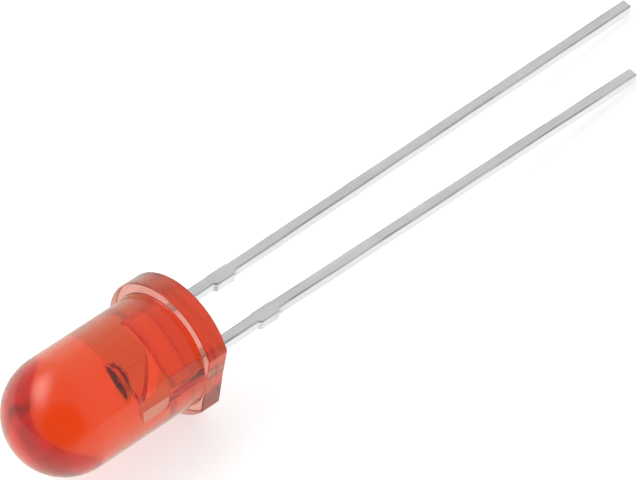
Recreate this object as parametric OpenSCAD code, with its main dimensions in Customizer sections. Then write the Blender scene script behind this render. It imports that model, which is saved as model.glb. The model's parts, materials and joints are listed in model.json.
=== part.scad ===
// Through hole LED: a 5 mm round lamp, cast in clear red epoxy on a stamped leadframe.
//
// Each piece is drawn upright. The lens axis is Z with the dome up, and the seating face, which is
// the underside of the flange, is z = 0. The leadframe is flat stock in the XZ plane, with the
// anode on the +X side and the cathode and the polarity flat on the -X side.
// as_it_lies() then lays the finished LED on a surface at z = 0, where it rests on three points:
// the rim of the flange and the two lead tips. The dome points to -X and the leads to +X.

/* [Lens] */
// Diameter of the lens barrel and of its dome
lens_d = 5; // [4.6:0.1:5.6]
// Height of the casting, from the seating face to the top of the dome
body_h = 8.7; // [8.2:0.1:9.5]

/* [Flange] */
// Thickness of the flange
flange_h = 1; // [0.8:0.1:1.4]
// How far the flange stands out from the barrel
flange_lip = 0.45; // [0.3:0.05:0.7]
// How far the polarity flat stands out from the barrel
flat_step = 0.07; // [0.02:0.01:0.15]

/* [Leads] */
// Thickness of the leadframe stock, and width of each square lead
lead_t = 0.5; // [0.4:0.01:0.6]
// Distance between the leads at the seating face
lead_pitch = 2.54; // [2.4:0.02:2.7]
// Length of the anode lead beyond the seating face
anode_len = 27.5; // [26:0.1:30]
// Length of the cathode lead beyond the seating face
cathode_len = 24.8; // [20:0.1:25.6]
// Outward lean of each lead beyond its tie bar stub, in degrees
lead_splay = 0.45; // [0:0.05:1]

/* [Tie bar stubs] */
// Distance from the seating face to the cut stubs of the tie bar
stub_drop = 2.95; // [1.5:0.05:4]
// Length of a stub along its lead
stub_len = 1.05; // [0.8:0.05:1.6]
// How far a stub stands out on the polarity flat's side of its lead
stub_near = 0.12; // [0.05:0.01:0.2]
// How far a stub stands out on the other side
stub_far = 0.03; // [0.02:0.01:0.2]

/* [Reflector cup] */
// Height of the cup's rim above the seating face
cup_rim_z = 4.05; // [3.8:0.05:4.6]
// Outer diameter of the cup at its rim
cup_rim_d = 1.15; // [1:0.05:1.3]
// Height of the cup's conical outside
cup_h = 0.55; // [0.4:0.05:0.7]
// Diameter of the cup's mouth
mouth_d = 0.95; // [0.8:0.05:0.98]
// Diameter of the cup's floor
floor_d = 0.5; // [0.45:0.01:0.6]
// Depth of the cup
cup_depth = 0.33; // [0.28:0.01:0.36]
// Distance of the cup from the lens axis, towards the cathode
cup_shift = 0.1; // [0:0.05:0.2]

/* [Anode head] */
// Height of the head's shoulders above the seating face
head_top_z = 3.8; // [3.5:0.05:4]
// Height of the head's lower edge above the seating face
head_low_z = 2.2; // [1.8:0.05:2.4]
// Distance from the lens axis to where the lower edge turns up
head_heel_x = 0.15; // [0.05:0.05:0.4]
// How far the tip of the head reaches past the lens axis
head_reach = 1.08; // [1:0.02:1.16]
// Height of the head's blunt tip
head_tip_h = 0.12; // [0.06:0.02:0.3]

/* [Cathode post] */
// Height of the post's top above the seating face
post_top_z = 4.05; // [3.8:0.05:4.4]
// Width of the post
post_w = 0.5; // [0.4:0.02:0.56]
// Clear gap between the tip of the anode's head and the post
post_gap = 0.2; // [0.14:0.02:0.26]
// Height of the post's outer heel above the seating face
heel_z = 2.65; // [2.4:0.05:3]
// Slope of the edge that runs in from the heel to the lead, in degrees
heel_slope = 35; // [10:1:45]
// Clear gap, across the LED, between the head's sloping edge and the post's web
web_gap = 0.66; // [0.5:0.02:0.7]
// Height of the web's tip above the seating face
web_tip_z = 2.4; // [2.3:0.05:2.6]
// Height of the web's lower edge where it meets the lead
web_low_z = 2.1; // [1.7:0.05:2.2]

/* [Chip and bond wire] */
// Side of the square chip
chip_w = 0.3; // [0.24:0.01:0.31]
// Height of the chip
chip_h = 0.2; // [0.12:0.01:0.22]
// Thickness of the conductive adhesive under the chip
attach_t = 0.02; // [0.01:0.005:0.03]
// Width of the cup's floor that the adhesive leaves bare all round
attach_rim = 0.02; // [0.01:0.005:0.03]
// Diameter of the contact pad on the chip
pad_d = 0.12; // [0.1:0.01:0.16]
// Thickness of the contact pad
pad_t = 0.01; // [0.006:0.002:0.02]
// Diameter of the gold bond wire
wire_d = 0.03; // [0.025:0.005:0.04]
// Diameter of the wire's ball bond
ball_d = 0.08; // [0.07:0.01:0.09]
// Height of the wire's ball bond
ball_h = 0.03; // [0.02:0.005:0.04]
// Radius of the wire's bend above the chip
bend_r = 0.12; // [0.08:0.01:0.2]
// Slope at which the wire comes down to the post, in degrees
wire_slope = 12; // [8:1:20]
// Length of the wire's flattened stitch on the post
stitch_len = 0.12; // [0.08:0.01:0.16]

/* [Hidden] */
$fn = 96;

// Casting
flange_d = lens_d + 2 * flange_lip;
dome_z = body_h - lens_d / 2;
flat_x = lens_d / 2 + flat_step;
flat_half_w = sqrt(pow(flange_d / 2, 2) - pow(flat_x, 2));

// Leads: x of a lead's inner and outer side as far as its stub, and its drift per millimetre after it
lead_x = lead_pitch / 2;
inner_x = lead_x - lead_t / 2;
outer_x = lead_x + lead_t / 2;
stub_end = stub_drop + stub_len;
drift = tan(lead_splay);

// Leadframe heads inside the casting
head_tip_z = head_top_z - head_tip_h;
slope_dx = (head_heel_x + head_reach) / (head_tip_z - head_low_z);
post_inner_x = -head_reach - post_gap;
post_outer_x = post_inner_x - post_w;
web_top_z = head_low_z + (head_heel_x - web_gap - post_inner_x) / slope_dx;
heel_low_z = heel_z + (post_outer_x + outer_x) * tan(heel_slope);

// Chip and wire: heights above the seating face
cup_x = -cup_shift;
cup_floor_z = cup_rim_z - cup_depth;
chip_z = cup_floor_z + attach_t;
pad_z = chip_z + chip_h;
ball_z = pad_z + pad_t;
attach_d = floor_d - 2 * attach_rim;
stitch_x = post_inner_x - post_w / 2;
stitch_w = 2 * wire_d;
stitch_h = PI * pow(wire_d / 2, 2) / stitch_w;
bend_end_x = cup_x - bend_r * (1 + sin(wire_slope));
wire_end_z = post_top_z + wire_d / 2;
wire_run = (bend_end_x - stitch_x) / cos(wire_slope);
bend_z = wire_end_z + wire_run * sin(wire_slope) - bend_r * cos(wire_slope);

// Rest: the roll and tilt that bring the flange's rim and both lead tips down to one plane
tip_spread = lead_pitch + (anode_len + cathode_len - 2 * stub_end) * drift;
anode_tip_x = lead_x + (anode_len - stub_end) * drift;
roll_arm = anode_len * tip_spread / (anode_len - cathode_len) - anode_tip_x + lead_t / 2;
roll = asin(flange_d / 2 / norm([roll_arm, lead_t / 2])) - atan2(lead_t / 2, roll_arm);
tilt = atan(sin(roll) * tip_spread / (anode_len - cathode_len));

// Extent of the LED as it lies, which puts the origin under the middle of its bounding box
low_x = -dome_z * cos(tilt) - lens_d / 2;
tip_top = (anode_tip_x + lead_t / 2) * sin(roll) + lead_t / 2 * cos(roll);
high_x = anode_len * cos(tilt) + tip_top * sin(tilt);
low_y = -flat_x * cos(roll) - flat_half_w * sin(roll);
high_y = flange_d / 2;

// Lays an upright piece down in the LED's rest position.
module as_it_lies() {
    translate([-(low_x + high_x) / 2, -(low_y + high_y) / 2, flange_d / 2 * cos(tilt)])
        rotate([roll, tilt, 0])
            rotate([-90, 0, 0])
                rotate([0, -90, 0])
                    children();
}

// x of the head's sloping edge at height z.
function slope_x(z) = head_heel_x - (z - head_low_z) * slope_dx;

// Outline of one side of a lead beyond the seating face, down to its tip: the side is at side_x as
// far as the tie bar stub, steps out by step along it, and then leans by lean for each millimetre.
function lead_side(side_x, lean, step, length) = [
    [side_x, -stub_drop],
    [side_x + step, -stub_drop],
    [side_x + step, -stub_end],
    [side_x, -stub_end],
    [side_x + lean * (length - stub_end), -length],
];

function reversed(points) = [for (i = [len(points) - 1:-1:0]) points[i]];

// Flat stock with the given outline in the XZ plane, centred on the lens axis.
module stamped(outline) {
    rotate([90, 0, 0])
        translate([0, 0, -lead_t / 2])
            linear_extrude(lead_t)
                polygon(outline);
}

module casting() {
    difference() {
        union() {
            cylinder(h = flange_h, d = flange_d);
            cylinder(h = dome_z, d = lens_d);
            translate([0, 0, dome_z]) sphere(d = lens_d);
        }
        translate([-flat_x - flange_d, -flange_d / 2, -flange_h])
            cube([flange_d, flange_d, 3 * flange_h]);
    }
}

module anode_solid() {
    difference() {
        union() {
            stamped(concat(
                reversed(lead_side(inner_x, drift, -stub_near, anode_len)),
                [
                    [inner_x, head_low_z],
                    [head_heel_x, head_low_z],
                    [-head_reach, head_tip_z],
                    [-head_reach, head_top_z],
                    [outer_x, head_top_z],
                ],
                lead_side(outer_x, drift, stub_far, anode_len)
            ));
            translate([cup_x, 0, cup_rim_z - cup_h])
                cylinder(h = cup_h, d1 = lead_t, d2 = cup_rim_d);
        }
        cup_recess();
    }
}

module cup_recess() {
    over = 0.05;
    flare = (mouth_d - floor_d) / cup_depth;
    translate([cup_x, 0, cup_floor_z])
        cylinder(h = cup_depth + over, d1 = floor_d, d2 = mouth_d + flare * over);
}

module cathode_solid() {
    stamped(concat(
        reversed(lead_side(-outer_x, -drift, -stub_near, cathode_len)),
        [
            [-outer_x, heel_low_z],
            [post_outer_x, heel_z],
            [post_outer_x, post_top_z],
            [post_inner_x, post_top_z],
            [post_inner_x, web_top_z],
            [slope_x(web_tip_z) - web_gap, web_tip_z],
            [-inner_x, web_low_z],
        ],
        lead_side(-inner_x, -drift, stub_far, cathode_len)
    ));
}

module attach_solid() {
    translate([cup_x, 0, cup_floor_z]) cylinder(h = attach_t, d = attach_d);
}

module chip_solid() {
    translate([cup_x - chip_w / 2, -chip_w / 2, chip_z]) cube([chip_w, chip_w, chip_h]);
}

module pad_solid() {
    translate([cup_x, 0, pad_z]) cylinder(h = pad_t, d = pad_d);
}

// The wire rises from its ball, bends over and runs straight down to its stitch on the post.
module wire_solid() {
    translate([cup_x, 0, ball_z]) cylinder(h = ball_h, d = ball_d);
    translate([cup_x, 0, ball_z]) cylinder(h = bend_z - ball_z, d = wire_d);
    translate([cup_x - bend_r, 0, bend_z])
        rotate([90, 0, 0])
            rotate_extrude(angle = 90 + wire_slope)
                translate([bend_r, 0]) circle(d = wire_d);
    translate([stitch_x, 0, wire_end_z])
        rotate([0, 90 - wire_slope, 0])
            cylinder(h = wire_run, d = wire_d);
    translate([stitch_x - stitch_len / 2, -stitch_w / 2, post_top_z])
        cube([stitch_len, stitch_w, stitch_h]);
    wire_joint(cup_x, bend_z);
    wire_joint(bend_end_x, bend_z + bend_r * cos(wire_slope));
}

// Fuses the wire's bend to a straight stretch with a ball that is just proud of both.
module wire_joint(x, z) {
    swell = 1.02;
    translate([x, 0, z]) sphere(d = swell * wire_d);
}

// Red epoxy casting with its flange and polarity flat, solid around everything that it holds.
module lens_body() {
    color([0.88, 0.16, 0.1, 0.6])
        as_it_lies()
            difference() {
                casting();
                anode_solid();
                cathode_solid();
                attach_solid();
                chip_solid();
                pad_solid();
                wire_solid();
            }
}

// Long lead, with the stub of the tie bar, the head and the reflector cup.
module anode_lead() {
    color([0.78, 0.78, 0.79]) as_it_lies() anode_solid();
}

// Short lead on the flat's side, with the stub of the tie bar and the post for the wire.
module cathode_lead() {
    color([0.78, 0.78, 0.79]) as_it_lies() cathode_solid();
}

// Silver filled adhesive between the cup's floor and the chip.
module die_attach() {
    color([0.75, 0.75, 0.72]) as_it_lies() attach_solid();
}

// Light emitting semiconductor chip.
module led_chip() {
    color([0.25, 0.22, 0.22]) as_it_lies() chip_solid();
}

// Metal contact on the chip's top face.
module bond_pad() {
    color([0.85, 0.65, 0.25]) as_it_lies() pad_solid();
}

// Gold wire from the chip to the cathode's post.
module bond_wire() {
    color([0.9, 0.7, 0.25]) as_it_lies() wire_solid();
}

lens_body();
anode_lead();
cathode_lead();
die_attach();
led_chip();
bond_pad();
bond_wire();
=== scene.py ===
"""Dresses the through hole LED: the cast red epoxy, the tinned leads, and the chip and wire inside.

Pieces are built upright in metres, on the axes that the LED is drawn on: the lens axis is Z with
the dome up, the underside of the flange is z = 0, the leadframe lies in the XZ plane and the anode
is on the +X side. UPRIGHT, which comes from the record's mounts, then lays each piece down in the
frame.
"""

import json
import math

import bmesh
import bpy
from mathutils import Matrix, Vector


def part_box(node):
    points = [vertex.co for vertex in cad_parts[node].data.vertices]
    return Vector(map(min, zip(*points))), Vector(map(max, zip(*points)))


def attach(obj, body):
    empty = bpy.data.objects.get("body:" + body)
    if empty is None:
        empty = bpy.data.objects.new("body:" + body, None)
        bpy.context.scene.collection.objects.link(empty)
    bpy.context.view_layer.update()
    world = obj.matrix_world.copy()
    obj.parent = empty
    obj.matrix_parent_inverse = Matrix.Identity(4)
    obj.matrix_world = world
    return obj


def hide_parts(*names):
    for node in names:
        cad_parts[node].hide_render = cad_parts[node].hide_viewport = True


MM = 0.001

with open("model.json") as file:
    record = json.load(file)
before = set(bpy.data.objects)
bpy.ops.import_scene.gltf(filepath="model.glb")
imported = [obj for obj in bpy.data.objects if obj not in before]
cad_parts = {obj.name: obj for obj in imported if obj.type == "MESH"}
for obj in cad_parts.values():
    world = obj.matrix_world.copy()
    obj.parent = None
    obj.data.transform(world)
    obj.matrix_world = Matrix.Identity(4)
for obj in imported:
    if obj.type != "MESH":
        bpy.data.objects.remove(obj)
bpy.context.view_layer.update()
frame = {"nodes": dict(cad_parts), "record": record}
mounts = {mount["name"]: mount for mount in frame["record"]["mounts"]}


# ---------------------------------------------------------------- sizes from the frame


def mount_place(name):
    return Vector(mounts[name]["pos_m"])


def upright_matrix():
    """Carries a point of the upright LED to its place in the frame."""
    z_axis = Vector(mounts["lens_barrel"]["axis"]).normalized()
    y_axis = z_axis.cross(-Vector(mounts["polarity_flat"]["axis"])).normalized()
    x_axis = y_axis.cross(z_axis)
    turn = Matrix((x_axis, y_axis, z_axis)).transposed()
    return Matrix.Translation(mount_place("seating_face")) @ turn.to_4x4()


UPRIGHT = upright_matrix()
TO_UPRIGHT = UPRIGHT.inverted()


def upright_points(node):
    return [TO_UPRIGHT @ vertex.co for vertex in frame["nodes"][node].data.vertices]


def upright_box(node):
    """Lowest and highest corner of a CAD node on the upright axes."""
    points = upright_points(node)
    return [Vector([pick(point[i] for point in points) for i in range(3)]) for pick in (min, max)]


LENS_R = mounts["lens_barrel"]["dims"]["r_mm"] * MM
BARREL_H = mounts["lens_barrel"]["dims"]["length_mm"] * MM
FLANGE_H = (TO_UPRIGHT @ mount_place("flange_front")).z
DOME_Z = FLANGE_H + BARREL_H
FLAT_SINK = 0.04 * MM  # how far the moulded flat lies inside the CAD's, to be all but flush
FLAT_X = -(TO_UPRIGHT @ mount_place("polarity_flat")).x - FLAT_SINK
SKIN = 0.006 * MM  # how far the flange's true circle lies inside the CAD's, whose mesh has facets
FLANGE_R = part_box("lens_body")[1].y - mount_place("seating_face").y - SKIN


# ---------------------------------------------------------------- node helpers


def add_node(tree, kind, inputs=None, **settings):
    """A shader node. inputs maps a socket's name or number to its value or to the socket that
    feeds it."""
    made = tree.nodes.new(kind)
    for name, value in settings.items():
        setattr(made, name, value)
    for key, value in (inputs or {}).items():
        if isinstance(value, bpy.types.NodeSocket):
            tree.links.new(value, made.inputs[key])
        else:
            made.inputs[key].default_value = value
    return made


def new_material(name):
    """An empty node material, its tree and its output node."""
    made = bpy.data.materials.new(name)
    made.use_nodes = True
    made.node_tree.nodes.clear()
    return made, made.node_tree, add_node(made.node_tree, "ShaderNodeOutputMaterial")


def add_surface(tree, output, inputs):
    surface = add_node(tree, "ShaderNodeBsdfPrincipled", inputs)
    tree.links.new(surface.outputs["BSDF"], output.inputs["Surface"])


def ramp(tree, factor, stops):
    """Colour ramp over (position, grey or colour) stops."""
    made = add_node(tree, "ShaderNodeValToRGB", {"Fac": factor})
    elements = made.color_ramp.elements
    while len(elements) < len(stops):
        elements.new(0.5)
    for element, (position, value) in zip(elements, stops):
        grey = not hasattr(value, "__len__")
        element.position = position
        element.color = (value, value, value, 1) if grey else (*value, 1)
    return made.outputs["Color"]


def spread(tree, value, before, after, **settings):
    """Carries a value from the range before to the range after, and keeps it there."""
    inputs = {
        "Value": value,
        "From Min": before[0],
        "From Max": before[1],
        "To Min": after[0],
        "To Max": after[1],
    }
    return add_node(tree, "ShaderNodeMapRange", inputs, **settings).outputs["Result"]


def math_node(tree, operation, first, second=0.0):
    return add_node(tree, "ShaderNodeMath", {0: first, 1: second}, operation=operation).outputs[0]


def plus(tree, first, second):
    return math_node(tree, "ADD", first, second)


def minus(tree, first, second):
    return math_node(tree, "SUBTRACT", first, second)


def times(tree, first, second):
    return math_node(tree, "MULTIPLY", first, second)


def along(tree, way, axis):
    """How far a direction or place lies along an axis."""
    inputs = {0: way, 1: tuple(axis)}
    return add_node(tree, "ShaderNodeVectorMath", inputs, operation="DOT_PRODUCT").outputs["Value"]


def parts_of(tree, place):
    """The X, Y and Z of a place."""
    return add_node(tree, "ShaderNodeSeparateXYZ", {"Vector": place}).outputs


def joined(tree, x, y):
    """A place with that X and Y, and no Z."""
    return add_node(tree, "ShaderNodeCombineXYZ", {"X": x, "Y": y}).outputs[0]


def length(tree, vector):
    return add_node(tree, "ShaderNodeVectorMath", {0: vector}, operation="LENGTH").outputs["Value"]


def noise(tree, vector, per_mm, detail=2.0, roughness=0.5, stretch=(1, 1, 1)):
    """Smooth noise with about per_mm waves in a millimetre, drawn out along the axes by stretch."""
    scale = [per_mm / MM / part for part in stretch]
    scaled = add_node(tree, "ShaderNodeMapping", {"Vector": vector, "Scale": scale}).outputs[0]
    inputs = {"Vector": scaled, "Scale": 1.0, "Detail": detail, "Roughness": roughness}
    return add_node(tree, "ShaderNodeTexNoise", inputs).outputs["Fac"]


def upright_place(tree):
    """Place on the upright axes, for a piece whose mesh is in the frame."""
    place = add_node(tree, "ShaderNodeTexCoord").outputs["Object"]
    inputs = {
        "Vector": place,
        "Location": TO_UPRIGHT.translation,
        "Rotation": TO_UPRIGHT.to_euler(),
    }
    return add_node(tree, "ShaderNodeMapping", inputs).outputs["Vector"]


def bump(tree, height, depth, normal=None):
    """Normal of a surface with bumps of that depth in metres."""
    inputs = {"Height": height, "Strength": 1.0, "Distance": depth}
    if normal is not None:
        inputs["Normal"] = normal
    return add_node(tree, "ShaderNodeBump", inputs).outputs["Normal"]


# ---------------------------------------------------------------- mesh helpers


def steps(count, low=0.0, high=1.0):
    return [low + (high - low) * i / count for i in range(count + 1)]


def turns(count):
    """Even angles once round."""
    return [math.tau * i / count for i in range(count)]


def add_object(name, data):
    made = bpy.data.objects.new(name, data)
    bpy.context.scene.collection.objects.link(made)
    return made


def loft(name, rows, start=None, end=None):
    """A closed mesh through rings of points. start and end are the points that close it, or None
    where the last ring is closed with one flat face."""
    mesh = bmesh.new()
    rings = [[mesh.verts.new(point) for point in row] for row in rows]
    count = len(rows[0])
    for lower, upper in zip(rings, rings[1:]):
        for i in range(count):
            k = (i + 1) % count
            mesh.faces.new((lower[i], lower[k], upper[k], upper[i]))
    for ring, tip, step in ((rings[0], start, -1), (rings[-1], end, 1)):
        order = ring[::step]
        if tip is None:
            mesh.faces.new(order)
            continue
        pole = mesh.verts.new(tip)
        for i in range(count):
            mesh.faces.new((order[i], order[(i + 1) % count], pole))
    made = bpy.data.meshes.new(name)
    mesh.to_mesh(made)
    mesh.free()
    made.shade_smooth()
    return made


def wear(mesh, material):
    """Gives a mesh that material alone."""
    mesh.materials.clear()
    mesh.materials.append(material)


def add_piece(name, mesh, material, slot, *stands_for):
    """A piece of the LED from a mesh on the upright axes, in place of the CAD nodes that it
    stands for."""
    mesh.transform(UPRIGHT)
    piece = add_object(name, mesh)
    wear(mesh, material)
    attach(piece, "root")
    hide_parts(*stands_for)


# ---------------------------------------------------------------- shape of the casting

EDGE_R = 0.05 * MM  # rounding of the flange's edges
CORNER_R = 0.12 * MM  # rounding of the two corners of the polarity flat
JOIN_R = 0.08 * MM  # fillet between the barrel and the flange
SUPPORT = 0.006 * MM  # strip beside a rounding that keeps the next surface true
NARROW = 0.4  # most of the flange's front ring that one rounding may take
THIN = 0.1  # most of it that one strip may take
DISH = 0.05 * MM  # how far the poured underside sinks in its middle
WET_H = 0.13 * MM  # height of the epoxy that creeps up each lead
WET_RUN = 0.09 * MM  # distance over which the creep dies away
WAVE = 0.045 * MM  # unevenness of the poured edge along the flat
WAVE_MIDDLE = 0.5
WAVES = ((0.28, 9, 1.1), (0.22, 21, 0.4))  # (share of it, waves once round, phase)
WAVE_ROUND = 0.15  # share of the unevenness that is left on the round edge
EDGE_POWER = 6  # how closely the unevenness keeps to the edge

COLUMNS = 360
CORNER_COLUMNS = 24
MIN_APART = math.tau / COLUMNS / 8  # least angle between an even column and one at a corner
UNDER_STEPS = 56
ARC_STEPS = 6
RIM_STEPS = 4
RING_STEPS = 2
BARREL_STEPS = 10
DOME_STEPS = 48

LEAD_BOXES = []  # (low x, high x, low y, high y) of each lead where it leaves the underside


def flange_outline(angle, inset):
    """Distance from the lens axis, in that direction, to the flange's outline moved inwards
    by inset."""
    outer = FLANGE_R - inset
    flat = FLAT_X - inset
    corner = CORNER_R - inset
    centre_x = flat - corner
    centre_y = math.sqrt((outer - corner) ** 2 - centre_x**2)
    off = abs(math.remainder(angle - math.pi, math.tau))
    if off <= math.atan2(centre_y, flat):
        return flat / math.cos(off)
    gap = math.atan2(centre_y, centre_x) - off
    if gap <= 0:
        return outer
    reach = outer - corner
    return reach * math.cos(gap) + math.sqrt(corner**2 - (reach * math.sin(gap)) ** 2)


def casting_angles():
    """Directions of the columns: even all round, with extra ones at the two corners of the flat."""
    corner_off = math.acos(FLAT_X / FLANGE_R)
    half_span = CORNER_R / FLANGE_R
    extra = []
    for side in (-1, 1):
        middle = math.pi + side * corner_off
        extra += [middle + half_span * share for share in steps(CORNER_COLUMNS, -1, 1)]
    kept = [a for a in turns(COLUMNS) if min(abs(a - b) for b in extra) > MIN_APART]
    return sorted(kept + extra)


def pour_lift(angle):
    """Unevenness of the underside's edge, which is largest along the flat."""
    off = math.remainder(angle - math.pi, math.tau)
    along_flat = max(0.0, 1 - (off / math.acos(FLAT_X / FLANGE_R)) ** 2)
    wave = WAVE_MIDDLE + sum(share * math.sin(count * off + phase) for share, count, phase in WAVES)
    return WAVE * wave * (WAVE_ROUND + (1 - WAVE_ROUND) * along_flat)


def underside_z(x, y, share, lift):
    """Height of the poured underside: dished, uneven at its edge, and drawn up along the leads."""
    z = DISH * (1 - share**2) + lift * share**EDGE_POWER
    for low_x, high_x, low_y, high_y in LEAD_BOXES:
        gap_x = max(low_x - x, x - high_x, 0)
        gap_y = max(low_y - y, y - high_y, 0)
        z -= WET_H * math.exp(-math.hypot(gap_x, gap_y) / WET_RUN)
    return z


def casting_column(angle):
    """Points of the casting's surface in one direction, from beside the axis at the underside to
    beside it at the top of the dome."""
    ring_w = flange_outline(angle, 0) - LENS_R
    top_r = min(EDGE_R, NARROW * ring_w)
    join_r = min(JOIN_R, NARROW * ring_w)
    strip = min(SUPPORT, THIN * ring_w)
    lift = pour_lift(angle)
    foot = flange_outline(angle, EDGE_R)
    rim = flange_outline(angle, 0)
    rim_top = FLANGE_H - top_r
    arc = steps(ARC_STEPS, 0, math.pi / 2)
    pairs = []
    for share in steps(UNDER_STEPS)[1:]:
        r = foot * share
        pairs.append((r, underside_z(r * math.cos(angle), r * math.sin(angle), share, lift)))
    for turn in arc[1:]:
        inset = EDGE_R * (1 - math.sin(turn))
        pairs.append((flange_outline(angle, inset), lift + EDGE_R * (1 - math.cos(turn))))
    pairs += [(rim, z) for z in steps(RIM_STEPS, lift + EDGE_R + SUPPORT, rim_top - strip)]
    for turn in arc:
        inset = top_r * (1 - math.cos(turn))
        pairs.append((flange_outline(angle, inset), rim_top + top_r * math.sin(turn)))
    outer = flange_outline(angle, top_r) - strip
    inner = LENS_R + join_r + strip
    pairs += [(r, FLANGE_H) for r in steps(RING_STEPS, outer, inner)]
    for turn in arc:
        across = join_r * (1 - math.sin(turn))
        pairs.append((LENS_R + across, FLANGE_H + join_r * (1 - math.cos(turn))))
    pairs += [(LENS_R, z) for z in steps(BARREL_STEPS, FLANGE_H + JOIN_R + SUPPORT, DOME_Z)]
    for turn in steps(DOME_STEPS, 0, math.pi / 2)[1:-1]:
        pairs.append((LENS_R * math.cos(turn), DOME_Z + LENS_R * math.sin(turn)))
    return [Vector((r * math.cos(angle), r * math.sin(angle), z)) for r, z in pairs]


# ---------------------------------------------------------------- red epoxy

EPOXY_IOR = 1.54
EPOXY_COLOUR = (1.0, 0.54, 0.0, 1)  # what the depth of the epoxy lets through
EPOXY_DENSITY = 1000.0  # per metre
SKIN_COLOUR = (0.86, 0.65, 1.0)  # what its surface lets through
MARK_SHADE_COLOUR = (0.58, 0.4, 0.5)  # the same in a flow mark, darker as painted shade on the rim
SHEEN = {"Sheen Weight": 0.75, "Sheen Roughness": 0.45, "Sheen Tint": (0.84, 1.0, 0.74, 1)}
POLISH = (0.02, 0.08)  # roughness of the best and the worst polished places of the mould
MATT = 0.06  # roughness that the polarity flat has more
HAZE = 0.1  # roughness that the top of the dome has more
HAZE_HEIGHTS = (DOME_Z - 0.3 * LENS_R, DOME_Z + 0.5 * LENS_R)  # where the haze begins and is full
MARK_ROUGHNESS = 0.2  # roughness that a flow mark has more
MARK_STRENGTH = (0.3, 1.0)  # weakest and strongest flow mark
RIM_EDGES = (FLANGE_R - 0.08 * MM, FLANGE_R - 0.02 * MM)  # where the flow marks begin and are full
FLAT_EDGES = (-FLAT_X + 0.005 * MM, -FLAT_X + 0.02 * MM)  # where the matt flat ends
SWIRL_DEPTH = 0.012 * MM  # of the slow waves in the surface
PIT_DEPTH = 0.00012 * MM  # of its fine unevenness


def rim_marks_and_shade(tree, place):
    """Strength of the flow marks that the mould leaves on the flange's rim, and 0 off the rim. The
    marks are duller, and their darker tint is painted shade.
    """
    parts = parts_of(tree, place)
    turn = math_node(tree, "ARCTAN2", parts["Y"], parts["X"])
    unrolled = joined(tree, times(tree, turn, FLANGE_R), parts["Z"])
    marks = noise(tree, unrolled, per_mm=3.0, stretch=(6, 1, 1))
    off = length(tree, joined(tree, parts["X"], parts["Y"]))
    on_rim = spread(tree, off, RIM_EDGES, (0.0, 1.0))
    return times(tree, spread(tree, marks, (0.35, 0.65), MARK_STRENGTH), on_rim)


def epoxy_material():
    """Clear red epoxy with a moulded surface, whose flow marks on the rim are also painted darker
    as painted shade. Sheen stands for the soft pale limb of the lens.
    """
    made, tree, output = new_material("red_epoxy")
    place = upright_place(tree)
    swirl = noise(tree, place, per_mm=0.35, detail=1.0)
    pits = noise(tree, place, per_mm=9.0, detail=3.0)
    roughness = spread(tree, noise(tree, place, per_mm=1.6, detail=4.0), (0.4, 0.8), POLISH)
    matt = spread(tree, along(tree, place, (1, 0, 0)), FLAT_EDGES, (MATT, 0.0))
    haze = spread(tree, along(tree, place, (0, 0, 1)), HAZE_HEIGHTS, (0.0, HAZE))
    marks = rim_marks_and_shade(tree, place)
    for more in (matt, times(tree, marks, MARK_ROUGHNESS), haze):
        roughness = plus(tree, roughness, more)
    inputs = {
        # painted shade: the rim's flow marks darken the tint
        "Base Color": ramp(tree, marks, [(0.0, SKIN_COLOUR), (1.0, MARK_SHADE_COLOUR)]),
        "Roughness": roughness,
        "IOR": EPOXY_IOR,
        "Transmission Weight": 1.0,
        "Normal": bump(tree, pits, PIT_DEPTH, bump(tree, swirl, SWIRL_DEPTH)),
    }
    add_surface(tree, output, {**inputs, **SHEEN})
    depth = {"Color": EPOXY_COLOUR, "Density": EPOXY_DENSITY}
    inside = add_node(tree, "ShaderNodeVolumeAbsorption", depth)
    tree.links.new(inside.outputs["Volume"], output.inputs["Volume"])
    return made


def build_casting():
    columns = [casting_column(angle) for angle in casting_angles()]
    rows = [list(row) for row in zip(*columns)]
    below = Vector((0, 0, underside_z(0, 0, 0, 0)))
    above = Vector((0, 0, DOME_Z + LENS_R))
    mesh = loft("epoxy_casting", rows, below, above)
    add_piece("epoxy_casting", mesh, epoxy_material(), "red_epoxy", "lens_body")


# ---------------------------------------------------------------- shape of the leads

LEAD_R = 0.06 * MM  # rounding of a lead's long edges across its thickness
LEAD_ROLL = 0.11 * MM  # rounding of them across its width, where the punch has drawn the face down
LEAST_ROUNDING = 0.1  # share of a rounding that is left however much the section shrinks
WANDER = 0.006 * MM  # how far a lead's sides wander inwards
WANDER_RATE = 1.3  # radians of their wave in a millimetre
WANDER_START = 1 * MM  # distance below the flange at which they wander in full
STUB_SLOPE = 0.14 * MM  # length of the slope at each end of a stub
TIP_R = 0.05 * MM  # rounding of a lead's cut tip
HEAD_R = 0.015 * MM  # rounding of the edges of the heads inside the casting
JOINT_Z = 0.6 * MM  # height at which a lead runs into its head
OVERLAP = 0.2 * MM  # how far it runs on inside the head
SLACK = 0.001 * MM  # how much slimmer it is there
CUP_H = 0.55 * MM  # height of the cup's conical outside
CUP_OVER = 0.05 * MM  # how far the cup's recess is cut on above its rim

CORNER_STEPS = 6
TIP_STEPS = 4
LEAST_STEPS = 4  # in each stretch of a shank
LONGEST_STEP = 0.3 * MM
ROUND = 128  # sides of a turned surface

OUTSIDE_Z = -0.1 * MM  # points of a CAD lead below this are on its shank
LEVEL = 0.01 * MM  # points of a CAD node are at one height when they differ by less
WELD = 0.0002 * MM
TRUE_FLAT = math.radians(0.5)  # faces that differ by less are one flat
SHARP = math.radians(25)  # edges that turn by more are rounded
CREASE = math.radians(35)  # edges that turn by more are shaded as edges
FLAT_WEIGHT = 100  # most that shading can follow the larger faces


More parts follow.
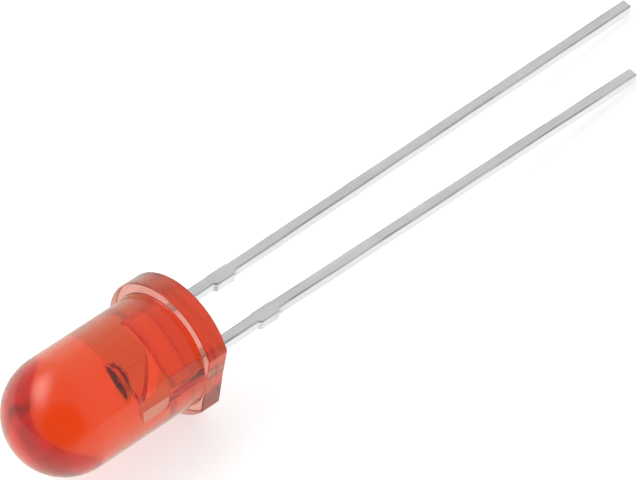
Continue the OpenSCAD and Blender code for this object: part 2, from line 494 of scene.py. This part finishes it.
class Lead:
    """Where a lead's sides are, read from its CAD node."""

    def __init__(self, node):
        points = upright_points(node)
        outside = [point for point in points if point.z < OUTSIDE_Z]
        heights = sorted({round(point.z / MM, 3) for point in outside})
        self.tip_z, self.stub_low_z, self.stub_high_z = [z * MM for z in heights]
        self.tip_x = self.sides_at(points, self.tip_z)
        sides = self.sides_at(points, self.stub_high_z)
        self.stub_x = [sides[0], sides[-1]]
        self.side_x = [sides[1], sides[-2]]
        self.half_t = max(abs(point.y) for point in outside)

    @staticmethod
    def sides_at(points, z):
        sides = {round(point.x / MM, 3) for point in points if abs(point.z - z) < LEVEL}
        return [x * MM for x in sorted(sides)]

    def stub_share(self, z):
        """1 along the stub and 0 beyond it, with a slope at each of its ends."""
        inside = min(z - self.stub_low_z, self.stub_high_z - z)
        return min(1.0, max(0.0, 0.5 + inside / STUB_SLOPE))


class Cup:
    """Where the reflector cup is, read from the CAD nodes."""

    def __init__(self):
        low, high = upright_box("die_attach")
        self.x = (low.x + high.x) / 2
        self.floor_z = low.z
        self.top_z = upright_box("anode_lead")[1].z
        around = [(math.hypot(p.x - self.x, p.y), p.z) for p in upright_points("anode_lead")]
        rim = [r for r, z in around if z > self.top_z - LEVEL]
        self.rim_r = min(rim)
        self.outer_r = max(rim)
        floor = [r for r, z in around if abs(z - self.floor_z) < LEVEL / 2]
        self.floor_r = max(r for r in floor if r < self.rim_r)


def lead_section(lead, z, shrink, phase):
    """One ring of a lead at height z: a rectangle with round corners between the lead's sides."""
    on_stub = lead.stub_share(z)
    beyond = min(1.0, max(0.0, -z / WANDER_START)) * (1 - on_stub)
    run = max(0.0, (lead.stub_low_z - z) / (lead.stub_low_z - lead.tip_z))
    sides = []
    for i, outward in enumerate((-1, 1)):
        side = lead.side_x[i] + run * (lead.tip_x[i] - lead.side_x[i])
        side += on_stub * (lead.stub_x[i] - lead.side_x[i])
        wave = 1 + math.sin(z / MM * WANDER_RATE + phase + i)
        sides.append(side - outward * (beyond * WANDER * wave + shrink))
    half_t = lead.half_t - shrink
    corner_x, corner_y = [max(r - shrink, LEAST_ROUNDING * r) for r in (LEAD_ROLL, LEAD_R)]
    middle_x = (sides[0] + sides[1]) / 2
    half_w = (sides[1] - sides[0]) / 2
    ring = []
    for quarter, (sign_x, sign_y) in enumerate(((1, 1), (-1, 1), (-1, -1), (1, -1))):
        start = quarter * math.pi / 2
        for turn in steps(CORNER_STEPS, start, start + math.pi / 2):
            x = middle_x + sign_x * (half_w - corner_x) + corner_x * math.cos(turn)
            y = sign_y * (half_t - corner_y) + corner_y * math.sin(turn)
            ring.append(Vector((x, y, z)))
    return ring


def lead_shank(name, lead, phase):
    """The straight part of a lead, from its cut tip to just inside its head."""
    heights = []
    for turn in steps(TIP_STEPS, 0, math.pi / 2):
        heights.append((lead.tip_z + TIP_R * (1 - math.cos(turn)), TIP_R * (1 - math.sin(turn))))
    half = STUB_SLOPE / 2
    marks = [lead.tip_z + TIP_R]
    marks += [z + step for z in (lead.stub_low_z, lead.stub_high_z) for step in (-half, half)]
    marks += [JOINT_Z + OVERLAP]
    for low, high in zip(marks, marks[1:]):
        count = max(LEAST_STEPS, math.ceil((high - low) / LONGEST_STEP))
        heights += [(z, 0.0) for z in steps(count, low, high)[1:]]
    rows = []
    for z, shrink in heights:
        rows.append(lead_section(lead, z, shrink if z < JOINT_Z else SLACK, phase))
    return loft(name, rows)


def cone(name, x, low_z, low_r, high_z, high_r):
    """A closed round cone or cylinder on a vertical axis in the leadframe's plane."""
    rows = []
    for z, r in ((low_z, low_r), (high_z, high_r)):
        rows.append([Vector((x + r * math.cos(t), r * math.sin(t), z)) for t in turns(ROUND)])
    return loft(name, rows)


def with_modifiers(base):
    """The mesh of an object as its modifiers leave it."""
    evaluated = base.evaluated_get(bpy.context.evaluated_depsgraph_get())
    return bpy.data.meshes.new_from_object(evaluated)


def combined(mesh, *operations):
    """mesh after exact boolean operations, each (operation, other mesh)."""
    base = add_object("base", mesh)
    others = []
    for operation, other in operations:
        tool = add_object("tool", other)
        others.append(tool)
        modifier = base.modifiers.new(operation, "BOOLEAN")
        modifier.operation = operation
        modifier.solver = "EXACT"
        modifier.object = tool
    made = with_modifiers(base)
    for thing in [base, *others]:
        bpy.data.objects.remove(thing)
    return made


def with_true_flats(mesh):
    """mesh with shading normals that follow its large faces, so that flats look flat."""
    base = add_object("base", mesh)
    modifier = base.modifiers.new("weighted", "WEIGHTED_NORMAL")
    modifier.keep_sharp = True
    modifier.weight = FLAT_WEIGHT
    made = with_modifiers(base)
    bpy.data.objects.remove(base)
    return made


def lead_head(node):
    """The stamped head of a lead from its CAD mesh, cut off where the shank takes over."""
    source = frame["nodes"][node].data.copy()
    source.transform(TO_UPRIGHT)
    mesh = bmesh.new()
    mesh.from_mesh(source)
    bmesh.ops.remove_doubles(mesh, verts=mesh.verts, dist=WELD)
    everything = mesh.verts[:] + mesh.edges[:] + mesh.faces[:]
    cut = bmesh.ops.bisect_plane(
        mesh, geom=everything, plane_co=(0, 0, JOINT_Z), plane_no=(0, 0, 1), clear_inner=True
    )
    rim = [edge for edge in cut["geom_cut"] if isinstance(edge, bmesh.types.BMEdge)]
    bmesh.ops.contextual_create(mesh, geom=rim)
    bmesh.ops.recalc_face_normals(mesh, faces=mesh.faces)
    mesh.to_mesh(source)
    mesh.free()
    return source


def with_cup(head, cup, lead):
    """The anode's head with the cup's conical outside and its round recess."""
    flare = (cup.rim_r - cup.floor_r) / (cup.top_z - cup.floor_z)
    over_z = cup.top_z + CUP_OVER
    over_r = cup.rim_r + flare * CUP_OVER
    outside = cone("cup", cup.x, cup.top_z - CUP_H, lead.half_t, cup.top_z, cup.outer_r)
    recess = cone("recess", cup.x, cup.floor_z, cup.floor_r, over_z, over_r)
    return combined(head, ("UNION", outside), ("DIFFERENCE", recess))


def soften(mesh, width):
    """Rounds a mesh's outward edges."""
    work = bmesh.new()
    work.from_mesh(mesh)
    bmesh.ops.dissolve_limit(work, angle_limit=TRUE_FLAT, verts=work.verts, edges=work.edges)
    outward = [edge for edge in work.edges if edge.is_manifold and edge.is_convex]
    sharp = [edge for edge in outward if edge.calc_face_angle() > SHARP]
    bmesh.ops.bevel(
        work, geom=sharp, offset=width, segments=2, profile=0.5, affect="EDGES", clamp_overlap=True
    )
    work.to_mesh(mesh)
    work.free()


# ---------------------------------------------------------------- plating of the leads

# The dark first stop serves the painted shade on the cup's wall.
PLATING = [
    (0.0, (0.03, 0.02, 0.02)),
    (0.5, (0.83, 0.83, 0.84)),
    (0.75, (0.93, 0.93, 0.94)),
    (1.0, (0.98, 0.98, 0.98)),
]
TONE = (0.46, 0.78)  # place on the plating's ramp of its darkest and palest streaks
# How squarely a surface looks sideways where one part of a lead begins to pass into the next, and
# has passed: from face to cut side, from face to rounded edge with painted shade, and from that
# edge to cut side.
CUT_TURN = (0.75, 0.95)
EDGE_TURN = (0.08, 0.25)
SIDE_TURN = (0.85, 0.97)
CUT_PAINTED_LIGHT = 0.15  # painted light: what a cut side adds to the tone
EDGE_PAINTED_SHADE = 0.22  # painted shade: what a rounded edge takes from it, standing for its darker reflection
TIN_ROUGHNESS = (0.2, 0.38)
CUT_DULLER = 0.1  # roughness that a cut side has more
CROSSING = (-0.1 * MM, 0.1 * MM)  # heights between which a lead runs into the casting
INSIDE_ROUGHNESS = 0.2  # share of the roughness that is left inside the casting
INSIDE_PAINTED_SHADE = 0.9  # painted shade: share of the colour that is left there
CUP_PAINTED_SHADE = (0.9, 0.6)  # darkness of the painted shade on the cup's wall, from its darkest to its lightest
CUP_EDGE = (0.02 * MM, 0.01 * MM)  # distances inside the cup's rim between which the painted shade ends
MOTTLE_DEPTH = 0.007 * MM
STREAK_DEPTH = 0.002 * MM
GRAIN_DEPTH = 0.0008 * MM


def in_cup(tree, parts, cup):
    """1 inside the reflector cup and 0 elsewhere."""
    off = length(tree, joined(tree, minus(tree, parts["X"], cup.x), parts["Y"]))
    within = spread(tree, off, [cup.rim_r - edge for edge in CUP_EDGE], (1.0, 0.0))
    above = spread(tree, parts["Z"], [cup.floor_z - edge for edge in CUP_EDGE], (0.0, 1.0))
    return times(tree, within, above)


def tin_material(cup):
    """Bright plating that follows the rolled stock lengthwise, duller on the cut sides, where
    painted light makes it paler, and painted darker along the rounded edges as painted shade. The
    cup's wall is painted dark as painted shade. Inside the casting the plating is smoother and
    painted a little darker as painted shade."""
    made, tree, output = new_material("tinned_steel")
    place = upright_place(tree)
    parts = parts_of(tree, place)
    normal = add_node(tree, "ShaderNodeNewGeometry").outputs["True Normal"]
    across = math_node(tree, "ABSOLUTE", along(tree, normal, UPRIGHT.col[0].to_3d()))
    cut_side = spread(tree, across, CUT_TURN, (0.0, 1.0))
    off_face = spread(tree, across, EDGE_TURN, (0.0, 1.0))
    edge = minus(tree, off_face, spread(tree, across, SIDE_TURN, (0.0, 1.0)))

    streaks = noise(tree, place, per_mm=14.0, detail=4.0, roughness=0.6, stretch=(1, 1, 40))
    mottle = noise(tree, place, per_mm=1.1, detail=5.0, roughness=0.6, stretch=(1, 1, 2.5))
    grain = noise(tree, place, per_mm=30.0)

    tone = spread(tree, plus(tree, streaks, mottle), (0.7, 1.3), TONE)
    # painted light: the cut sides are painted paler, as bright as the light they catch
    tone = plus(tree, tone, times(tree, cut_side, CUT_PAINTED_LIGHT))
    # painted shade along the rounded edges
    tone = minus(tree, tone, times(tree, edge, EDGE_PAINTED_SHADE))
    # painted shade on the cup's wall, standing for the shade in the recess
    cup_shade = times(tree, in_cup(tree, parts, cup), spread(tree, mottle, (0.35, 0.6), CUP_PAINTED_SHADE))
    colour = ramp(tree, times(tree, tone, minus(tree, 1.0, cup_shade)), PLATING)
    # painted shade: the plating is painted a little darker inside the casting
    inside = {"Vector": colour, "Scale": spread(tree, parts["Z"], CROSSING, (1.0, INSIDE_PAINTED_SHADE))}
    colour = add_node(tree, "ShaderNodeVectorMath", inside, operation="SCALE").outputs["Vector"]

    roughness = spread(tree, mottle, (0.3, 0.7), TIN_ROUGHNESS)
    roughness = plus(tree, roughness, times(tree, cut_side, CUT_DULLER))
    smoother = spread(tree, parts["Z"], CROSSING, (1.0, INSIDE_ROUGHNESS))

    relief = bump(tree, mottle, MOTTLE_DEPTH)
    relief = bump(tree, streaks, STREAK_DEPTH, relief)
    inputs = {
        "Base Color": colour,
        "Metallic": 1.0,
        "Roughness": times(tree, roughness, smoother),
        "Normal": bump(tree, grain, GRAIN_DEPTH, relief),
    }
    add_surface(tree, output, inputs)
    return made


def build_leads():
    cup = Cup()
    material = tin_material(cup)
    for node, phase in (("anode_lead", 0.3), ("cathode_lead", 2.1)):
        lead = Lead(node)
        LEAD_BOXES.append((*lead.side_x, -lead.half_t, lead.half_t))
        head = lead_head(node)
        if node == "anode_lead":
            head = with_cup(head, cup, lead)
        soften(head, HEAD_R)
        mesh = combined(head, ("UNION", lead_shank(node + "_shank", lead, phase)))
        mesh.shade_smooth()
        mesh.set_sharp_from_angle(angle=CREASE)
        add_piece(node + "_tinned", with_true_flats(mesh), material, "tinned_lead", node)


# ---------------------------------------------------------------- chip, pad, adhesive and wire

WIRE_R = 0.015 * MM
BALL_R = 0.04 * MM
BALL_H = 0.03 * MM
BALL_RINGS = ((0.0, 0.7), (0.15, 0.92), (0.45, 1.0), (0.8, 0.85), (0.95, 0.55))  # (height, radius)
LOOP_LIFT = 1.33  # height of the loop's control points over the height that the loop reaches
LOOP_RISE = 1.02  # height of the second one over the first
LOOP_LEAN = 0.01 * MM  # how far the wire leans back above its ball
LOOP_REACH = 0.35 * MM  # how far the loop's second control point lies towards the post
STITCH_H = 0.012 * MM  # thickness of the wire's end
STITCH_SPREAD = 0.9  # how much wider the stitch is than the wire, as a share of it
STITCH_START = 0.06 * MM  # distance from the wire's end in the CAD to where the stitch begins
STITCH_RUN = 0.11 * MM
WIRE_SIDES = 16
WIRE_STEPS = 60
STITCH_STEPS = 4


def simple_material(name, low, high, per_mm, roughness, metallic, depth):
    """A solid material whose colour and relief vary with fine noise."""
    made, tree, output = new_material(name)
    place = add_node(tree, "ShaderNodeTexCoord").outputs["Object"]
    grain = noise(tree, place, per_mm, detail=4.0, roughness=0.6)
    inputs = {
        "Base Color": ramp(tree, grain, [(0.35, low), (0.65, high)]),
        "Metallic": metallic,
        "Roughness": spread(tree, grain, (0.3, 0.7), (0.8 * roughness, 1.2 * roughness)),
        "Normal": bump(tree, grain, depth),
    }
    add_surface(tree, output, inputs)
    return made


def wire_places():
    """The contact's top on the chip, the wire's end on the post, and the height of the loop."""
    pad = upright_box("bond_pad")
    wire = upright_box("bond_wire")
    start = Vector(((pad[0].x + pad[1].x) / 2, 0, pad[1].z))
    end = Vector((wire[0].x, 0, upright_box("cathode_lead")[1].z))
    return start, end, wire[1].z


def curve(controls, u):
    """Place and direction of a cubic curve at share u of the way."""
    a, b, c, d = controls
    v = 1 - u
    place = a * v**3 + 3 * b * u * v**2 + 3 * c * u**2 * v + d * u**3
    ahead = 3 * (b - a) * v**2 + 6 * (c - b) * u * v + 3 * (d - c) * u**2
    return place, ahead.normalized()


def oval(centre, side, side_r, over, over_r):
    """A ring of points round centre, with its radius along each of two directions."""
    ring = []
    for turn in turns(WIRE_SIDES):
        ring.append(centre + side_r * math.sin(turn) * side - over_r * math.cos(turn) * over)
    return ring


def build_wire(material):
    """Gold wire: a squashed ball on the chip, a neck, a low loop and a wedge stitch on the post."""
    sideways = Vector((0, 1, 0))
    start, end, top_z = wire_places()
    stitch = end + Vector((STITCH_START, 0, WIRE_R))
    lift = (top_z - WIRE_R - start.z) * LOOP_LIFT
    controls = [
        start + Vector((0, 0, BALL_H)),
        start + Vector((LOOP_LEAN, 0, lift)),
        start + Vector((-LOOP_REACH, 0, lift * LOOP_RISE)),
        stitch,
    ]
    rows = []
    for height, share in BALL_RINGS:
        centre = start + Vector((0, 0, BALL_H * height))
        rows.append(oval(centre, sideways, BALL_R * share, Vector((-1, 0, 0)), BALL_R * share))
    for u in steps(WIRE_STEPS):
        centre, ahead = curve(controls, u)
        rows.append(oval(centre, sideways, WIRE_R, ahead.cross(sideways), WIRE_R))
    for share in steps(STITCH_STEPS)[1:]:
        half_h = WIRE_R + (STITCH_H / 2 - WIRE_R) * share
        half_w = WIRE_R + WIRE_R * share * STITCH_SPREAD
        centre = stitch + Vector((-STITCH_RUN * share, 0, half_h - WIRE_R))
        rows.append(oval(centre, sideways, half_w, Vector((0, 0, 1)), half_h))
    add_piece("bond_wire_drawn", loft("bond_wire_drawn", rows), material, "gold", "bond_wire")


def build_inside():
    gold = simple_material(
        "gold",
        low=(0.9, 0.62, 0.25),
        high=(1.0, 0.74, 0.35),
        per_mm=60.0,
        roughness=0.18,
        metallic=1.0,
        depth=0.0004 * MM,
    )
    paste = simple_material(
        "silver_paste",
        low=(0.45, 0.45, 0.45),
        high=(0.75, 0.75, 0.75),
        per_mm=40.0,
        roughness=0.45,
        metallic=0.6,
        depth=0.004 * MM,
    )
    semiconductor = simple_material(
        "semiconductor",
        low=(0.1, 0.08, 0.08),
        high=(0.2, 0.16, 0.15),
        per_mm=25.0,
        roughness=0.3,
        metallic=0.2,
        depth=0.001 * MM,
    )
    build_wire(gold)
    for node, material in (("bond_pad", gold), ("die_attach", paste), ("led_chip", semiconductor)):
        wear(frame["nodes"][node].data, material)


# ---------------------------------------------------------------- camera

AIM = Vector((-0.36, 1.12, 0.5)) * MM  # the point that the camera looks at
DISTANCE = 241.3 * MM
HEADING = 43.7  # degrees from +Y towards +X
ELEVATION = 48.1  # degrees
ROLL = 1.66  # degrees
FOCAL_LENGTH = 335.6
CLIP_START = 10 * MM
CLIP_END = 10.0


def direction(heading, elevation):
    """The way to a point of the sky. heading turns from +Y towards +X, in degrees."""
    flat = math.cos(math.radians(elevation))
    turn = math.radians(heading)
    return Vector((flat * math.sin(turn), flat * math.cos(turn), math.sin(math.radians(elevation))))


def build_camera():
    data = bpy.data.cameras.new("camera")
    data.lens = FOCAL_LENGTH
    data.clip_start = CLIP_START
    data.clip_end = CLIP_END
    camera = add_object("camera", data)
    ahead = direction(HEADING, -ELEVATION)
    roll = Matrix.Rotation(-math.radians(ROLL), 3, "Z")
    camera.location = AIM - DISTANCE * ahead
    camera.rotation_euler = (ahead.to_track_quat("-Z", "Y").to_matrix() @ roll).to_euler()
    bpy.context.scene.camera = camera


# ---------------------------------------------------------------- floor and light

WHITE = (1.0, 1.0, 1.0, 1.0)
PAPER = (0.8, 0.8, 0.8, 1.0)
PAPER_GLOW = 0.62  # what the floor shines to the camera, so that it is white outside the shadow
FLOOR_HALF = 3.0
SKY = [(0.0, 0.5), (0.3, 0.56), (0.72, 0.63), (1.0, 0.5)]  # (height, light) of the pale room
DIM_SIDE = {"heading": -136, "elevation": 26, "half_w": 53, "half_h": 54, "core": 0.6}
DIM_SHARE = 0.95  # share of the light that the dim side has lost
PALE_WALL = {"heading": 44, "elevation": 0, "half_w": 85, "half_h": 38, "core": 0.35}
PALE_WALL_LIGHT = 0.3
WINDOW = {"heading": -29, "elevation": 53, "half_w": 48, "half_h": 25, "core": 0.0}
WINDOW_LIGHT = 3.8


def lobe(tree, way, heading, elevation, half_w, half_h, core):
    """1 in the middle of an oval patch of sky, with soft edges that fade to 0 at its half sizes in
    degrees. core is the share of it that stays full."""
    axis = direction(heading, elevation)
    across = direction(heading + 90, 0)
    side = along(tree, way, across / math.sin(math.radians(half_w)))
    up = along(tree, way, across.cross(axis) / math.sin(math.radians(half_h)))
    square = plus(tree, math_node(tree, "POWER", side, 2.0), math_node(tree, "POWER", up, 2.0))
    off = math_node(tree, "SQRT", square)
    soft = spread(tree, off, (core, 1.0), (1.0, 0.0), interpolation_type="SMOOTHSTEP")
    return times(tree, soft, math_node(tree, "GREATER_THAN", along(tree, way, axis), 0.0))


def dim_side(tree, way):
    """Share of the light left in that direction, which is least on the side behind the camera."""
    return plus(tree, times(tree, lobe(tree, way, **DIM_SIDE), -DIM_SHARE), 1.0)


def emission(tree, strength):
    inputs = {"Color": WHITE, "Strength": strength}
    return add_node(tree, "ShaderNodeEmission", inputs).outputs[0]


def background(tree, strength):
    inputs = {"Color": WHITE, "Strength": strength}
    return add_node(tree, "ShaderNodeBackground", inputs).outputs[0]


def mixed(tree, share, first, second):
    return add_node(tree, "ShaderNodeMixShader", {0: share, 1: first, 2: second}).outputs[0]


def floor_material():
    """White floor. The camera sees it as white paper with the object's shadow. The epoxy's depth
    shows it evenly white, and gloss shows it white but for the dim side behind the camera."""
    made, tree, output = new_material("white_floor")
    path = add_node(tree, "ShaderNodeLightPath").outputs
    paper = add_node(tree, "ShaderNodeBsdfDiffuse", {"Color": PAPER}).outputs[0]
    lit = {0: paper, 1: emission(tree, PAPER_GLOW)}
    to_camera = add_node(tree, "ShaderNodeAddShader", lit).outputs[0]
    place = add_node(tree, "ShaderNodeNewGeometry").outputs["Position"]
    both = {0: place, 1: UPRIGHT @ Vector((0, 0, DOME_Z))}
    from_dome = add_node(tree, "ShaderNodeVectorMath", both, operation="SUBTRACT").outputs[0]
    way = add_node(tree, "ShaderNodeVectorMath", {0: from_dome}, operation="NORMALIZE").outputs[0]
    to_gloss = emission(tree, dim_side(tree, way))
    shown = mixed(tree, path["Is Camera Ray"], paper, to_camera)
    shown = mixed(tree, path["Is Glossy Ray"], shown, to_gloss)
    shown = mixed(tree, path["Is Transmission Ray"], shown, emission(tree, 1.0))
    tree.links.new(shown, output.inputs["Surface"])
    return made


def build_floor():
    mesh = bpy.data.meshes.new("floor")
    corners = [(-1, -1), (1, -1), (1, 1), (-1, 1)]
    mesh.from_pydata([(FLOOR_HALF * x, FLOOR_HALF * y, 0) for x, y in corners], [], [(0, 1, 2, 3)])
    mesh.materials.append(floor_material())
    floor = add_object("floor", mesh)


def build_world():
    """A white tent: even white to the camera and through the epoxy, and to gloss a pale room with
    one soft window and a dim side behind the camera."""
    world = bpy.data.worlds.new("studio")
    world.use_nodes = True
    tree = world.node_tree
    tree.nodes.clear()
    output = add_node(tree, "ShaderNodeOutputWorld")
    way = add_node(tree, "ShaderNodeTexCoord").outputs["Generated"]
    sky = ramp(tree, along(tree, way, (0, 0, 1)), SKY)
    sky = add_node(tree, "ShaderNodeRGBToBW", {"Color": sky}).outputs["Val"]
    sky = plus(tree, sky, times(tree, lobe(tree, way, **PALE_WALL), PALE_WALL_LIGHT))
    window = times(tree, lobe(tree, way, **WINDOW), WINDOW_LIGHT)
    level = plus(tree, times(tree, sky, dim_side(tree, way)), window)
    path = add_node(tree, "ShaderNodeLightPath").outputs
    even = math_node(tree, "MAXIMUM", path["Is Camera Ray"], path["Is Transmission Ray"])
    shown = mixed(tree, even, background(tree, level), background(tree, 1.0))
    tree.links.new(shown, output.inputs["Surface"])
    bpy.context.scene.world = world


# ---------------------------------------------------------------- the scene

MAX_BOUNCES = 48  # light crosses the epoxy and the plating many times
GLOSS_BOUNCES = 32
DEPTH_BOUNCES = 32

build_camera()
build_leads()
build_casting()
build_inside()
build_floor()
build_world()

scene = bpy.context.scene
scene.view_settings.view_transform = "Standard"
scene.cycles.max_bounces = MAX_BOUNCES
scene.cycles.glossy_bounces = GLOSS_BOUNCES
scene.cycles.transmission_bounces = DEPTH_BOUNCES
